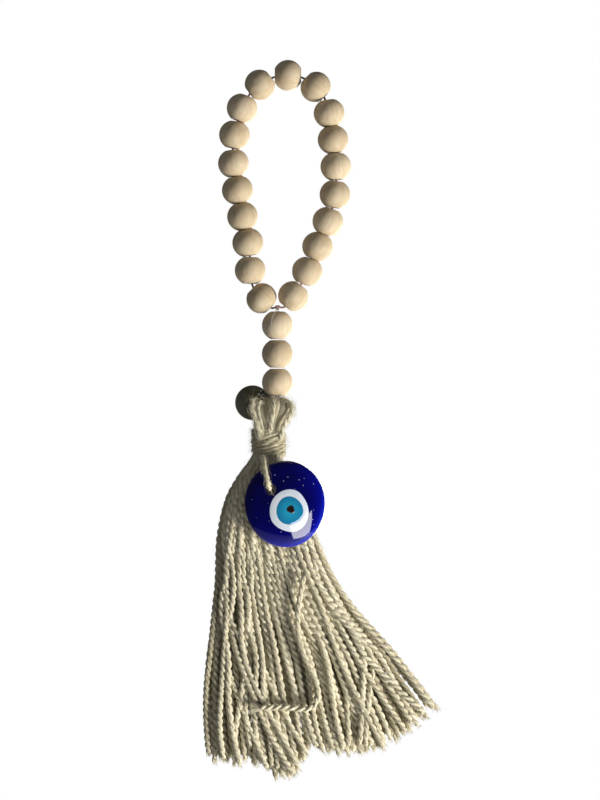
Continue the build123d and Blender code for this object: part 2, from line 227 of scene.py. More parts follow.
def mix_colours(nodes, links, factor, first, second, blend="MIX"):
    """Two colours mixed by a factor socket or number. Each is a socket or a colour."""
    node = nodes.new("ShaderNodeMix")
    node.data_type = "RGBA"
    node.blend_type = blend
    for socket, value in ((node.inputs["Factor"], factor), (node.inputs[6], first), (node.inputs[7], second)):
        if isinstance(value, bpy.types.NodeSocket):
            links.new(value, socket)
        elif isinstance(value, (int, float)):
            socket.default_value = value
        else:
            socket.default_value = (*value, 1.0)
    return node.outputs[2]


# ---- Materials ------------------------------------------------------------------------------


# Each ramp's stops are places along it and colours.
WOOD_STREAKS = [(0.30, (0.60, 0.495, 0.345)), (0.52, (0.665, 0.57, 0.415)), (0.75, (0.70, 0.61, 0.46))]
WOOD_PORES = [(0.30, (0.88, 0.84, 0.78)), (0.50, (1.0, 1.0, 1.0))]
WOOD_PATCHES = [(0.35, (0.93, 0.89, 0.83)), (0.65, (1.03, 1.02, 1.0))]
WOOD_TONES = [(0.0, (0.86, 0.83, 0.78)), (1.0, (1.04, 1.03, 1.02))]
# Painted shade: dark reddish brown in each bead's mouth and bore, where shade falls between the beads.
MOUTH_PAINTED_SHADE = (0.16, 0.065, 0.035)
YARN_PATCHES = [(0.3, (0.86, 0.84, 0.80)), (0.65, (1.05, 1.05, 1.05))]
# Yarn tone, dark to light: the dark end also paints shade on the skirt's inner strands.
YARN_TONES = [(0.0, (0.62, 0.59, 0.51)), (0.6, (1.0, 1.0, 1.0)), (1.0, (1.1, 1.1, 1.1))]
CARD_PULP = [(0.35, (0.092, 0.083, 0.042)), (0.65, (0.140, 0.126, 0.068))]
CARD_SPECKS = [(0.40, (0.8, 0.8, 0.8)), (0.62, (1.15, 1.15, 1.12))]
CARD_RIM = (0.22, 0.20, 0.14)
SWIRL_SHARE = 0.14


def wood_material():
    """Raw sanded wood: faint streaks along the bore, pores, and painted shade in the mouth and bore."""
    material, nodes, links, shader = new_material("bead_wood")
    grain = attribute(nodes, "grain")
    stretch = nodes.new("ShaderNodeMapping")
    stretch.inputs["Scale"].default_value = (0.06, 1.0, 1.0)
    links.new(grain.outputs["Vector"], stretch.inputs["Vector"])
    streaks = place_group(nodes, MOTTLE, Scale=0.55, Speckle_Scale=4.5)
    links.new(stretch.outputs["Vector"], streaks.inputs["Vector"])
    patches = place_group(nodes, MOTTLE, Scale=0.12, Speckle_Scale=2.2)
    links.new(grain.outputs["Vector"], patches.inputs["Vector"])
    streak = colour_ramp(nodes, links, streaks.outputs["Mottle"], WOOD_STREAKS)
    fine = colour_ramp(nodes, links, streaks.outputs["Speckle"], WOOD_PORES)
    patch = colour_ramp(nodes, links, patches.outputs["Mottle"], WOOD_PATCHES)
    colour = mix_colours(nodes, links, 0.4, streak, fine, "MULTIPLY")
    colour = mix_colours(nodes, links, 0.9, colour, patch, "MULTIPLY")
    tone = attribute(nodes, "tone")
    toned = colour_ramp(nodes, links, tone.outputs["Fac"], WOOD_TONES)
    colour = mix_colours(nodes, links, 1.0, colour, toned, "MULTIPLY")
    # Painted shade in the mouth and bore, placed by the mouth mask.
    mouth = attribute(nodes, "mouth")
    colour = mix_colours(nodes, links, mouth.outputs["Fac"], colour, MOUTH_PAINTED_SHADE)
    links.new(colour, shader.inputs["Base Color"])
    rough = nodes.new("ShaderNodeMapRange")
    rough.inputs["To Min"].default_value = 0.5
    rough.inputs["To Max"].default_value = 0.68
    links.new(patches.outputs["Speckle"], rough.inputs["Value"])
    links.new(rough.outputs["Result"], shader.inputs["Roughness"])
    shader.inputs["Specular IOR Level"].default_value = 0.32
    shader.inputs["Subsurface Weight"].default_value = 0.06
    shader.inputs["Subsurface Radius"].default_value = (0.0012, 0.0007, 0.0004)
    shader.inputs["Subsurface Scale"].default_value = 1.0
    bump(nodes, links, streaks.outputs["Speckle"], 0.35, 0.00008, shader.inputs["Normal"])
    return material


def yarn_material(name, dark, middle, light):
    """Soft spun yarn: fibres along each ply, tone from strand to strand, partly random and partly painted
    shade on the skirt's inner strands, and sheen.
    """
    material, nodes, links, shader = new_material(name)
    thread = attribute(nodes, "thread")
    fibres = place_group(nodes, FIBRES, Fineness=2.2, Patch_Size=0.35)
    links.new(thread.outputs["Vector"], fibres.inputs["Vector"])
    stops = [(0.30, dark), (0.50, middle), (0.70, light)]
    colour = colour_ramp(nodes, links, fibres.outputs["Height"], stops)
    patches = colour_ramp(nodes, links, fibres.outputs["Patches"], YARN_PATCHES)
    colour = mix_colours(nodes, links, 0.8, colour, patches, "MULTIPLY")
    tone = attribute(nodes, "tone")
    toned = colour_ramp(nodes, links, tone.outputs["Fac"], YARN_TONES)
    colour = mix_colours(nodes, links, 1.0, colour, toned, "MULTIPLY")
    links.new(colour, shader.inputs["Base Color"])
    shader.inputs["Roughness"].default_value = 0.5
    shader.inputs["Specular IOR Level"].default_value = 0.25
    shader.inputs["Sheen Weight"].default_value = 0.08
    shader.inputs["Sheen Roughness"].default_value = 0.45
    bump(nodes, links, fibres.outputs["Height"], 0.8, 0.00025, shader.inputs["Normal"])
    return material


def glass_material(name, stops):
    """Hand-poured glass: a colour that shifts softly from middle to edge, faint swirls and a wet gloss. On
    the blue glass the brighter edge is painted light shining through, strongest at the lower right rim.
    """
    material, nodes, links, shader = new_material(name)
    place = nodes.new("ShaderNodeTexCoord")
    swirl = place_group(nodes, MOTTLE, Scale=90.0, Speckle_Scale=700.0)
    links.new(place.outputs["Object"], swirl.inputs["Vector"])
    edge = attribute(nodes, "edge")
    shifted = nodes.new("ShaderNodeMath")
    shifted.operation = "MULTIPLY_ADD"
    shifted.inputs[1].default_value = SWIRL_SHARE
    links.new(swirl.outputs["Mottle"], shifted.inputs[0])
    links.new(edge.outputs["Fac"], shifted.inputs[2])
    colour = colour_ramp(nodes, links, shifted.outputs["Value"], stops)
    links.new(colour, shader.inputs["Base Color"])
    shader.inputs["Roughness"].default_value = 0.04
    shader.inputs["IOR"].default_value = 1.52
    bump(nodes, links, swirl.outputs["Mottle"], 0.05, 0.0006, shader.inputs["Normal"])
    return material


def card_material():
    """Dark olive card: faint pulp, with a paler rubbed rim by its edge attribute."""
    material, nodes, links, shader = new_material("tag_card")
    place = nodes.new("ShaderNodeTexCoord")
    pulp = place_group(nodes, MOTTLE, Scale=260.0, Speckle_Scale=2600.0)
    links.new(place.outputs["Object"], pulp.inputs["Vector"])
    colour = colour_ramp(nodes, links, pulp.outputs["Mottle"], CARD_PULP)
    specks = colour_ramp(nodes, links, pulp.outputs["Speckle"], CARD_SPECKS)
    colour = mix_colours(nodes, links, 0.8, colour, specks, "MULTIPLY")
    edge = attribute(nodes, "edge")
    colour = mix_colours(nodes, links, edge.outputs["Fac"], colour, CARD_RIM)
    links.new(colour, shader.inputs["Base Color"])
    shader.inputs["Roughness"].default_value = 0.55
    bump(nodes, links, pulp.outputs["Speckle"], 0.3, 0.00006, shader.inputs["Normal"])
    return material


def floor_material():
    """A pale matte floor."""
    material, _, _, shader = new_material("floor")
    shader.inputs["Base Color"].default_value = (0.86, 0.86, 0.85, 1)
    shader.inputs["Roughness"].default_value = 0.9
    return material


# ---- Mesh helpers ---------------------------------------------------------------------------

THREAD_PITCH = 0.12  # thread coordinates along a yarn, for each millimetre of it
PLIES = 2
PLY_SIDES = 7
PLY_RADIUS = 0.285  # share of the yarn's diameter
PLY_HELIX = 0.235  # share of the yarn's diameter
PLY_SPIN = 0.35  # turn of a ply's rings from place to place, in radians
FRAY_THICKNESS = 0.11 * MM
THREAD_RADIUS = 0.16 * MM
LONG_FUZZ = (2.5 * MM, 7 * MM)
SHORT_FUZZ = (2 * MM, 6 * MM)


def grid_quads(rows, columns, wrap_rows=False):
    """Quads of a grid of rows by columns. Columns join round, and rows do where asked."""
    row = np.arange(rows if wrap_rows else rows - 1)
    column = np.arange(columns)
    r, c = np.meshgrid(row, column, indexing="ij")
    r2, c2 = (r + 1) % rows, (c + 1) % columns
    quads = np.stack([r * columns + c, r * columns + c2, r2 * columns + c2, r2 * columns + c], axis=-1)
    return quads.reshape(-1, 4)


def end_caps(rows, around):
    """Triangles from the two points that follow a grid's own, the first closing its first row, the next
    its last."""
    here = np.arange(around)
    after = (here + 1) % around
    last = (rows - 1) * around
    first_cap = np.stack([np.full(around, rows * around), after, here], axis=1)
    last_cap = np.stack([np.full(around, rows * around + 1), last + here, last + after], axis=1)
    return np.concatenate([first_cap, last_cap])


class Mesh:
    """Points, faces and point attributes gathered from several surfaces, made into one piece."""

    def __init__(self):
        self.points, self.quads, self.triangles, self.extras, self.count = [], [], [], {}, 0

    def add(self, points, quads=None, triangles=None, **extras):
        points = np.asarray(points, dtype=float).reshape(-1, 3)
        if quads is not None:
            self.quads.append(np.asarray(quads) + self.count)
        if triangles is not None and len(triangles):
            self.triangles.append(np.asarray(triangles) + self.count)
        for name, values in extras.items():
            self.extras.setdefault(name, []).append(np.asarray(values, dtype=float))
        self.points.append(points)
        self.count += len(points)

    def piece(self, name, material, slot):
        """Makes the Blender object, smooth shaded, at the origin."""
        points = np.concatenate(self.points)
        quads = np.concatenate(self.quads) if self.quads else np.zeros((0, 4), dtype=int)
        triangles = np.concatenate(self.triangles) if self.triangles else np.zeros((0, 3), dtype=int)
        mesh = bpy.data.meshes.new(name)
        mesh.vertices.add(len(points))
        mesh.vertices.foreach_set("co", points.ravel())
        mesh.loops.add(quads.size + triangles.size)
        around = np.concatenate([quads.ravel(), triangles.ravel()])
        mesh.loops.foreach_set("vertex_index", around.astype(np.int32))
        mesh.polygons.add(len(quads) + len(triangles))
        starts = np.concatenate([np.arange(len(quads)) * 4, quads.size + np.arange(len(triangles)) * 3])
        mesh.polygons.foreach_set("loop_start", starts.astype(np.int32))
        mesh.update(calc_edges=True)
        mesh.validate()
        mesh.shade_smooth()
        for label, values in self.extras.items():
            values = np.concatenate(values)
            kind, field = ("FLOAT_VECTOR", "vector") if values.ndim == 2 else ("FLOAT", "value")
            layer = mesh.attributes.new(label, kind, "POINT")
            layer.data.foreach_set(field, values.ravel().astype(np.float32))
        mesh.materials.append(material)
        item = bpy.data.objects.new(name, mesh)
        bpy.context.scene.collection.objects.link(item)
        return item


def unit(vectors):
    """Vectors scaled to length 1, along the last axis."""
    return vectors / np.maximum(np.linalg.norm(vectors, axis=-1, keepdims=True), 1e-12)


def smooth_line(points):
    """Corner cutting, four times over: two points a quarter and three quarters along every run, ends
    kept."""
    line = np.asarray(points, dtype=float)
    for _ in range(4):
        quarter = line[:-1] * 0.75 + line[1:] * 0.25
        three = line[:-1] * 0.25 + line[1:] * 0.75
        inner = np.stack([quarter, three], axis=1).reshape(-1, 3)
        line = np.concatenate([line[:1], inner, line[-1:]])
    return line


def resample(line, step):
    """Points at even distances along a line, about a step apart."""
    line = np.asarray(line, dtype=float)
    runs = np.linalg.norm(np.diff(line, axis=0), axis=1)
    along = np.concatenate([[0], np.cumsum(runs)])
    count = max(4, int(round(along[-1] / step)) + 1)
    at = np.linspace(0, along[-1], count)
    return np.stack([np.interp(at, along, line[:, axis]) for axis in range(3)], axis=1)


def carried_frames(line):
    """Tangents, and two crosswise directions carried along the line without twisting."""
    tangent = unit(np.gradient(line, axis=0))
    side = np.zeros_like(line)
    previous = np.array([0.0, 1.0, 0.0]) if abs(tangent[0][1]) < 0.9 else np.array([1.0, 0.0, 0.0])
    for i, direction in enumerate(tangent):
        previous = unit(previous - direction * np.dot(previous, direction))
        side[i] = previous
    return tangent, side, np.cross(tangent, side)


def add_tube(mesh, line, radius, around, tone, offset=(0, 0, 0), spin=0.0, across=1.0):
    """A round tube: at each place on a line, a ring of its radius in the two carried crosswise
    directions, turned on by spin from place to place. A point closes each end. Its thread coordinates
    run along and round it."""
    tangent, side, other = carried_frames(line)
    radius = np.broadcast_to(np.asarray(radius, dtype=float), (len(line),))
    angle = np.linspace(0, 2 * math.pi, around, endpoint=False)
    turned = angle[None, :] + (np.arange(len(line)) * spin)[:, None]
    ring = np.cos(turned)[..., None] * side[:, None] + np.sin(turned)[..., None] * other[:, None]
    points = line[:, None] + ring * radius[:, None, None]
    start = line[0] - tangent[0] * radius[0] * 0.6
    end = line[-1] + tangent[-1] * radius[-1] * 0.6
    points = np.concatenate([points.reshape(-1, 3), start[None], end[None]])
    rows = len(line)
    run = np.concatenate([[0], np.cumsum(np.linalg.norm(np.diff(line, axis=0), axis=1))]) / MM * THREAD_PITCH
    thread = np.stack(
        [
            np.repeat(run, around),
            np.tile(np.cos(angle), rows) * across,
            np.tile(np.sin(angle), rows) * across,
        ],
        axis=1,
    )
    thread = np.concatenate([thread, [[run[0], 0, 0], [run[-1], 0, 0]]]) + np.asarray(offset)
    quads, caps = grid_quads(rows, around)[:, ::-1], end_caps(rows, around)[:, ::-1]
    mesh.add(points, quads, caps, thread=thread, tone=np.full(len(points), tone))


def add_yarn(mesh, line, diameter, random, lay, tone, swell=([0, 1], [1.0, 1.0]), step=0.85 * MM):
    """Plied yarn: round plies, each a helix about the line that turns once in every lay, pressed
    together.

    Each ply's radius and its helix's are shares of the yarn's diameter, which swells and shrinks along
    the line.
    """
    line = resample(line, step)
    _, side, other = carried_frames(line)
    share = np.linspace(0, 1, len(line))
    width = diameter * np.interp(share, *swell)
    width = width * (1 + 0.06 * np.sin(share * random.uniform(9, 25) + random.uniform(0, 6)))
    run = share * np.linalg.norm(np.diff(line, axis=0), axis=1).sum()
    phase = random.uniform(0, 2 * math.pi)
    drift = 0.5 * np.sin(share * random.uniform(5, 12) + phase)
    for ply in range(PLIES):
        angle = -2 * math.pi * run / lay + phase + drift + 2 * math.pi * ply / PLIES
        outward = np.cos(angle)[:, None] * side + np.sin(angle)[:, None] * other
        centre = line + outward * (width * PLY_HELIX)[:, None]
        offset = random.uniform(-40, 40, 3)
        add_tube(mesh, centre, width * PLY_RADIUS, PLY_SIDES, tone, offset=offset, spin=PLY_SPIN)
    return line


def add_hair(mesh, hair, radius, tone, random):
    """A three-sided hair along a short line, whose radius is given at each of its places."""
    sides = np.linspace(0, 2 * math.pi, 3, endpoint=False)
    _, one, two = carried_frames(hair)
    ring = np.cos(sides)[None, :, None] * one[:, None] + np.sin(sides)[None, :, None] * two[:, None]
    points = (hair[:, None] + ring * radius[:, None, None]).reshape(-1, 3)
    last = len(hair) * 3 - 3
    caps = [[2, 1, 0], [last, last + 1, last + 2]]
    thread = np.full((len(points), 3), random.uniform(-20, 20))
    mesh.add(points, grid_quads(len(hair), 3)[:, ::-1], caps, thread=thread, tone=np.full(len(points), tone))


def add_fuzz(mesh, lines, diameter, count, random, length=LONG_FUZZ, thickness=0.05 * MM, lift=1.0):
    """Loose fibres: thin hairs that leave a yarn's surface, lean along it, rise by share of the way
    times 1.4 less share, and curl by its square."""
    share = np.linspace(0, 1, 6)
    for _ in range(count):
        line = lines[random.integers(len(lines))]
        at = random.integers(1, len(line) - 1)
        tangent = unit(line[at + 1] - line[at - 1])
        cross = unit(np.cross(tangent, random.normal(size=3)))
        along = tangent * random.choice((-1, 1))
        size = random.uniform(*length)
        root = line[at] + cross * diameter * 0.36
        curl = unit(np.cross(cross, along)) * random.uniform(-0.5, 0.5)
        rise = share * (1.4 - share) * random.uniform(0.1, 0.75) * lift
        hair = root + size * (share[:, None] * along + rise[:, None] * cross + (share**2)[:, None] * curl)
        add_hair(mesh, hair, thickness * (1 - 0.7 * share), 0.9, random)


def route_line(points_mm):
    """The smooth line that a route of control points gives, in metres: an order 3 NURBS spline, ends
    included."""
    curve = bpy.data.curves.new("route", "CURVE")
    curve.dimensions = "3D"
    curve.resolution_u = 24
    spline = curve.splines.new("NURBS")
    spline.points.add(len(points_mm) - 1)
    for point, place in zip(spline.points, points_mm):
        point.co = (*(np.array(place) * MM), 1.0)
    spline.order_u = 3
    spline.use_endpoint_u = True
    carrier = bpy.data.objects.new("route", curve)
    mesh = bpy.data.meshes.new_from_object(carrier)
    line = np.array([vertex.co[:] for vertex in mesh.vertices])
    bpy.data.objects.remove(carrier)
    bpy.data.curves.remove(curve)
    bpy.data.meshes.remove(mesh)
    return line


# ---- Beads ----------------------------------------------------------------------------------

BEAD_LOW, BEAD_HIGH = corners("loop_bead_crown")
BEAD_RADIUS = (BEAD_HIGH[1] - BEAD_LOW[1]) / 2
LOOP_BEAD_HALF = (BEAD_HIGH[0] - BEAD_LOW[0]) / 2
STEM_LOW, STEM_HIGH = corners("stem_bead_1")
STEM_BEAD_HALF = (STEM_HIGH[2] - STEM_LOW[2]) / 2
BEAD_END = 3.5 * MM  # radius of the flat round a bead's mouth
BEAD_BORE = 2.1 * MM
MOUTH_ROUND = 0.55 * MM
BEAD_AROUND = 72
# How much longer than the CAD bead each dressed one is, at each end. A stem bead leaves room for the
# stem's bends.
LOOP_BEAD_GROWTH = 0.1 * MM
STEM_BEAD_GROWTH = 0.04 * MM


def bead_profile(half):
    """Axial and radial places round a bead's section: one arc over the flank, a quarter turn into each
    mouth by sine and cosine, and the straight bore. Also how deep in the mouth each place is, from 0
    outside to 1 in it."""
    rise = BEAD_RADIUS - BEAD_END
    flank = (rise**2 + half**2) / 2 / rise
    reach = math.asin(half / flank)
    angle = np.linspace(-reach, reach, 33)
    axial, radial = flank * np.sin(angle), BEAD_RADIUS - flank + flank * np.cos(angle)
    turn = np.linspace(0, math.pi / 2, 7)[1:]
    lip_axial = half - MOUTH_ROUND * (1 - np.cos(turn)) * 1.6
    lip_radial = BEAD_END - (BEAD_END - BEAD_BORE) * np.sin(turn)
    bore_axial = np.linspace(lip_axial[-1], -lip_axial[-1], 8)[1:-1]
    bore_radial = np.full(len(bore_axial), BEAD_BORE)
    axial = np.concatenate([axial, lip_axial, bore_axial, -lip_axial[::-1]])
    radial = np.concatenate([radial, lip_radial, bore_radial, lip_radial[::-1]])
    deep = np.clip((BEAD_END * 1.06 - radial) / (BEAD_END * 1.06 - BEAD_BORE), 0, 1) ** 0.8
    in_bore = np.where(radial < BEAD_BORE * 1.2, 1.0, 0.0)
    deep = np.where(np.abs(axial) < half - 2.2 * MM, in_bore, deep)
    return axial, radial, deep


def make_bead(node, material, random):
    """A turned bead: its section carried round the bore, with slow unevenness as a sum of sine waves
    through space, and a few small dents that fall off as a bell curve with distance."""
    in_stem = node.startswith("stem")
    half = STEM_BEAD_HALF + STEM_BEAD_GROWTH if in_stem else LOOP_BEAD_HALF + LOOP_BEAD_GROWTH
    joint = JOINTS[f"{node}_spin"]
    centre, axis = np.array(joint["pos_m"]), unit(np.array(joint["axis"], dtype=float))
    axial, radial, deep = bead_profile(half)
    angle = np.linspace(0, 2 * math.pi, BEAD_AROUND, endpoint=False)
    across = unit(np.cross(axis, [0.0, 1.0, 0.0]))
    forward = np.cross(axis, across)
    outward = np.cos(angle)[None, :, None] * across + np.sin(angle)[None, :, None] * forward
    local = np.stack(
        [
            np.repeat(axial[:, None], BEAD_AROUND, axis=1),
            radial[:, None] * np.cos(angle)[None],
            radial[:, None] * np.sin(angle)[None],
        ],
        axis=-1,
    )
    wave = np.zeros(local.shape[:2])
    for _ in range(5):
        pull = random.normal(size=3) * 260
        wave += np.sin(local @ pull + random.uniform(0, 6)) * 0.018 * MM
    for _ in range(random.integers(3, 7)):
        place = unit(random.normal(size=3)) * BEAD_RADIUS
        far = np.linalg.norm(local - place, axis=-1)
        wave -= random.uniform(0.08, 0.25) * MM * np.exp(-((far / random.uniform(0.5 * MM, 1.3 * MM)) ** 2))
    outside = (1 - deep)[:, None]
    shrink = 1 - 0.004 * random.uniform(0, 1)
    radius = radial[:, None] * shrink + (wave - 0.05 * MM) * outside
    points = centre + local[..., :1] * axis + outward * radius[..., None]
    mesh = Mesh()
    twist = random.uniform(0, 2 * math.pi)
    grain = local / MM
    turned = np.stack(
        [
            grain[..., 0],
            grain[..., 1] * math.cos(twist) - grain[..., 2] * math.sin(twist),
            grain[..., 1] * math.sin(twist) + grain[..., 2] * math.cos(twist),
        ],
        axis=-1,
    ) + random.uniform(-200, 200, 3)
    mesh.add(
        points,
        grid_quads(len(axial), BEAD_AROUND, wrap_rows=True),
        grain=turned.reshape(-1, 3),
        # The mouth mask places the painted shade in the mouth and bore.
        mouth=np.repeat(deep, BEAD_AROUND),
        tone=np.full(len(axial) * BEAD_AROUND, random.uniform(0.1, 1.0)),
    )
    piece = mesh.piece(f"wooden_{node}", material, "bead_wood")
    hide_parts(node)
    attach(piece, BODY_OF[node])


# ---- Skirt ----------------------------------------------------------------------------------

YARN = 3.2 * MM
SKIRT_STRANDS = 148
LOCKS = 8
# Front and back places of each four yarns, as shares of the half depth.
LAYER_SHARES = (-0.85, 0.8, -0.3, 0.3)
OVAL = 2.6  # power of the skirt's section, between an ellipse's 2 and a rectangle
SKIRT_SWELL = ([0, 0.05, 0.16, 0.975, 1.0], [0.62, 0.66, 1.0, 1.0, 0.78])
# The skirt's outline below the wrap, in millimetres from the wrap's axis: drop, left edge, right edge,
# half depth.
SKIRT_LEVELS = (
    (-4.0, -6.6, 6.6, 6.4),
    (3.0, -9.6, 7.8, 7.4),
    (12.0, -16.6, 11.4, 8.6),
    (24.0, -22.8, 17.0, 9.8),
    (42.0, -26.2, 25.0, 10.0),
    (58.0, -26.2, 31.5, 9.4),
    (75.0, -28.6, 42.0, 8.8),
    (98.0, -32.0, 62.8, 8.0),
)
# Where the yarns end along the ragged hem, in millimetres from the wrap's axis: X and drop.
HEM = (
    (-30.0, 152.5),
    (-19.5, 154.0),
    (-11.0, 152.8),
    (-4.0, 154.5),
    (2.5, 160.0),
    (8.0, 162.0),
    (12.5, 161.5),
    (16.5, 153.0),
    (22.5, 143.0),
    (27.5, 147.0),
    (38.0, 148.5),
    (53.0, 147.0),
    (65.0, 142.0),
    (71.5, 136.5),
    (78.0, 130.5),
    (85.0, 127.0),
)


def spread_apart(places, gap, left, right, depth, rounds=90):
    """Pushes crowded places apart until they are a gap from each other, inside an oval from left to
    right where the sum of the two shares to the power OVAL is 1."""
    middle, half = (left + right) / 2, (right - left) / 2
    for _ in range(rounds):
        between = places[:, None] - places[None]
        far = np.linalg.norm(between, axis=-1) + np.eye(len(places))
        short = np.clip(gap - far, 0, None) * (1 - np.eye(len(places)))
        places = places + (between / far[..., None] * short[..., None]).sum(axis=1) * 0.28
        reach = np.abs((places[:, 0] - middle) / half) ** OVAL + np.abs(places[:, 1] / depth) ** OVAL
        over = np.maximum(reach, 1.0) ** (1 / OVAL)
        places = np.stack([middle + (places[:, 0] - middle) / over, places[:, 1] / over], axis=1)
    return places


def skirt_lines(random):
    """Centre lines of the skirt's yarns, and each one's front to back place: places spread apart at
    each level, then a straight run to the hem, joined and corner-cut smooth."""
    count = SKIRT_STRANDS
    share = (np.arange(count) + 0.5) / count
    blocks = np.tile(LAYER_SHARES, (count // len(LAYER_SHARES), 1))
    layer = random.permuted(blocks, axis=1).ravel()
    controls = []
    for drop, left, right, depth in SKIRT_LEVELS:
        places = np.stack([left + share * (right - left), layer * depth * 0.8], axis=1)
        places += random.normal(size=places.shape) * np.interp(drop, [0, 30, 122], [0.2, 0.6, 1.1])
        gap = min(YARN / MM * 0.93, 1.02 * math.sqrt(math.pi * (right - left) / 2 * depth / count))
        places = spread_apart(places, gap, left + 1.2, right - 1.2, depth)
        controls.append(np.stack([places[:, 0], places[:, 1], np.full(count, -drop)], axis=1))
    low = np.stack([HEM[0][0] + share * (HEM[-1][0] - HEM[0][0]), layer * 4.6], axis=1)
    low += random.normal(size=(count, 2)) * (1.3, 0.5)
    low = spread_apart(low, YARN / MM * 0.95, HEM[0][0] - 0.5, HEM[-1][0] + 0.5, 6.2)
    ragged = np.clip(random.normal(size=count) * 2.4 - 2.0, -9, 0.8)
    drop = np.interp(low[:, 0], [x for x, _ in HEM], [drop for _, drop in HEM]) + ragged
    end = np.stack([low[:, 0], low[:, 1], -drop], axis=1)
    knee = controls[-1]
    for part in (0.36, 0.70):
        between = knee + (end - knee) * part + random.normal(size=(count, 3)) * (0.7, 0.4, 0.0)
        between[:, 0] -= 1.6 * (1 - share) ** 2
        controls.append(between)
    controls.append(end)
    base = np.array([WRAP_CENTRE[0], WRAP_CENTRE[1], WRAP_LOW[2]])
    lines = np.stack(controls, axis=1) * MM + base
    return [smooth_line(line) for line in lines], layer


def make_skirt(material, random):
    """The skirt: every yarn along its own line, gathered into as many pieces as there are locks."""
    lines, layer = skirt_lines(random)
    for lock in range(LOCKS):
        mesh, kept = Mesh(), []
        first, last = lock * len(lines) // LOCKS, (lock + 1) * len(lines) // LOCKS
        for line, depth in zip(lines[first:last], layer[first:last]):
            lay, size = random.uniform(6.8, 9.5) * MM, YARN * random.uniform(0.86, 1.12)
            # Inner strands get the darker tones as painted shade between the strands; within each range the
            # tone is random.
            tone = random.uniform(0.45, 1.0) if abs(depth) > 0.5 else random.uniform(0.0, 0.5)
            kept.append(add_yarn(mesh, line, size, random, lay, tone, swell=SKIRT_SWELL))
            add_frayed_end(mesh, kept[-1], random)
        add_fuzz(mesh, kept, YARN, 420, random)
        piece = mesh.piece(f"skirt_yarns_{lock + 1}", material, "yarn")
        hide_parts(f"skirt_lock_{lock + 1}")
        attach(piece, "tassel")


def add_frayed_end(mesh, line, random, hairs=14, size=3.2 * MM):
    """A cut end that opens into a brush: short hairs that go forward and lean out by share to the power
    1.5."""
    forward = unit(line[-1] - line[-4])
    share = np.linspace(0, 1, 5)
    for _ in range(hairs):
        cross = unit(np.cross(forward, random.normal(size=3)))
        root = line[-1] - forward * 0.8 * MM + cross * random.uniform(0, 0.9) * MM
        long = size * random.uniform(0.4, 1.0)
        lean = (share**1.5)[:, None] * cross * random.uniform(0.05, 0.45)
        hair = root + long * (share[:, None] * forward + lean)
        add_hair(mesh, hair, FRAY_THICKNESS * (1 - 0.6 * share), 0.7, random)


# The loose strand's route down and across the skirt's front, in millimetres.
STRAY_ROUTE = (
    (17.7, 59.5),
    (15.0, 73.0),
    (14.2, 86.5),
    (17.2, 99.0),
    (23.5, 110.5),
    (25.6, 121.0),
    (20.0, 127.0),
    (8.5, 124.6),
    (-3.8, 125.4),
)
STRAY_DEPTH = (12.1, 11.9, 11.5, 10.8, 10.3, 9.8, 9.8, 9.8, 9.8)


def make_stray(material, random):
    """The loose strand, which lies on the skirt and ends in an open brush."""
    points = [
        (WRAP_CENTRE[0] / MM + x, -depth, WRAP_LOW[2] / MM - drop)
        for (x, drop), depth in zip(STRAY_ROUTE, STRAY_DEPTH)
    ]
    swell = ([0, 0.03, 0.9, 1.0], [0.8, 1.0, 1.05, 1.1])
    loose = {"diameter": 3.0 * MM, "lay_length": 8.2 * MM, "far_end": "bare", "lay": "loose"}
    make_cord("loose_strand", "stray_strand", route_line(points), swell, loose, material, random)


def make_cord(name, node, line, swell, kind, material, random):
    """A free yarn along a line, and its loose fibres as a piece that goes with it."""
    yarn, fibres = Mesh(), Mesh()
    diameter = kind["diameter"]
    path = add_yarn(yarn, line, diameter, random, kind["lay_length"], 0.95, swell=swell, step=0.6 * MM)
    if kind["far_end"] == "bare":
        add_frayed_end(fibres, path, random, hairs=90, size=6.5 * MM)
    add_fuzz(fibres, [path[: len(path) * 3 // 5]], diameter, 150, random, length=SHORT_FUZZ, lift=1.2)
    body = BODY_OF[node]
    piece = yarn.piece(name, material, "yarn")
    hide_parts(node)
    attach(piece, body)
    hairs = fibres.piece(f"{name}_fibres", material, "yarn")
    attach(hairs, body)


# ---- Head and wrap --------------------------------------------------------------------------

WRAP_TURNS = 5.7
WRAP_YARN = 2.75 * MM


def make_wrap(material, random):
    """The wrap: one yarn wound round the neck in a helix, whose turns lean by the cosine of the angle."""
    mesh = Mesh()
    turn = np.linspace(0, 2 * math.pi * WRAP_TURNS, 420)
    share = turn / turn[-1]
    height = WRAP_HIGH[2] - WRAP_YARN * 0.42 - share * (WRAP_HIGH[2] - WRAP_LOW[2] - WRAP_YARN * 0.84)
    radius = WRAP_RADIUS - WRAP_YARN * 0.46 + 0.12 * MM * np.sin(turn * 2.3)
    lean = 0.55 * MM * np.cos(turn - 0.4)
    line = np.stack(
        [
            WRAP_CENTRE[0] + radius * np.cos(turn + 2.2),
            WRAP_CENTRE[1] + radius * np.sin(turn + 2.2),
            height + lean,
        ],
        axis=1,
    )
    path = add_yarn(mesh, line, WRAP_YARN, random, 9.5 * MM, 0.3)
    add_fuzz(mesh, [path], WRAP_YARN * 1.1, 1800, random, length=SHORT_FUZZ, lift=0.6)
    piece = mesh.piece("neck_wrap_yarn", material, "yarn")
    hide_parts("neck_wrap")
    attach(piece, "tassel")


HEAD_BUNDLES = 13
HEAD_DEPTH = 0.8  # the head's depth as a share of its width
BUNDLE_SWELL = ([0, 0.3, 0.62, 0.9, 1], [0.85, 0.9, 1.15, 0.9, 0.5])
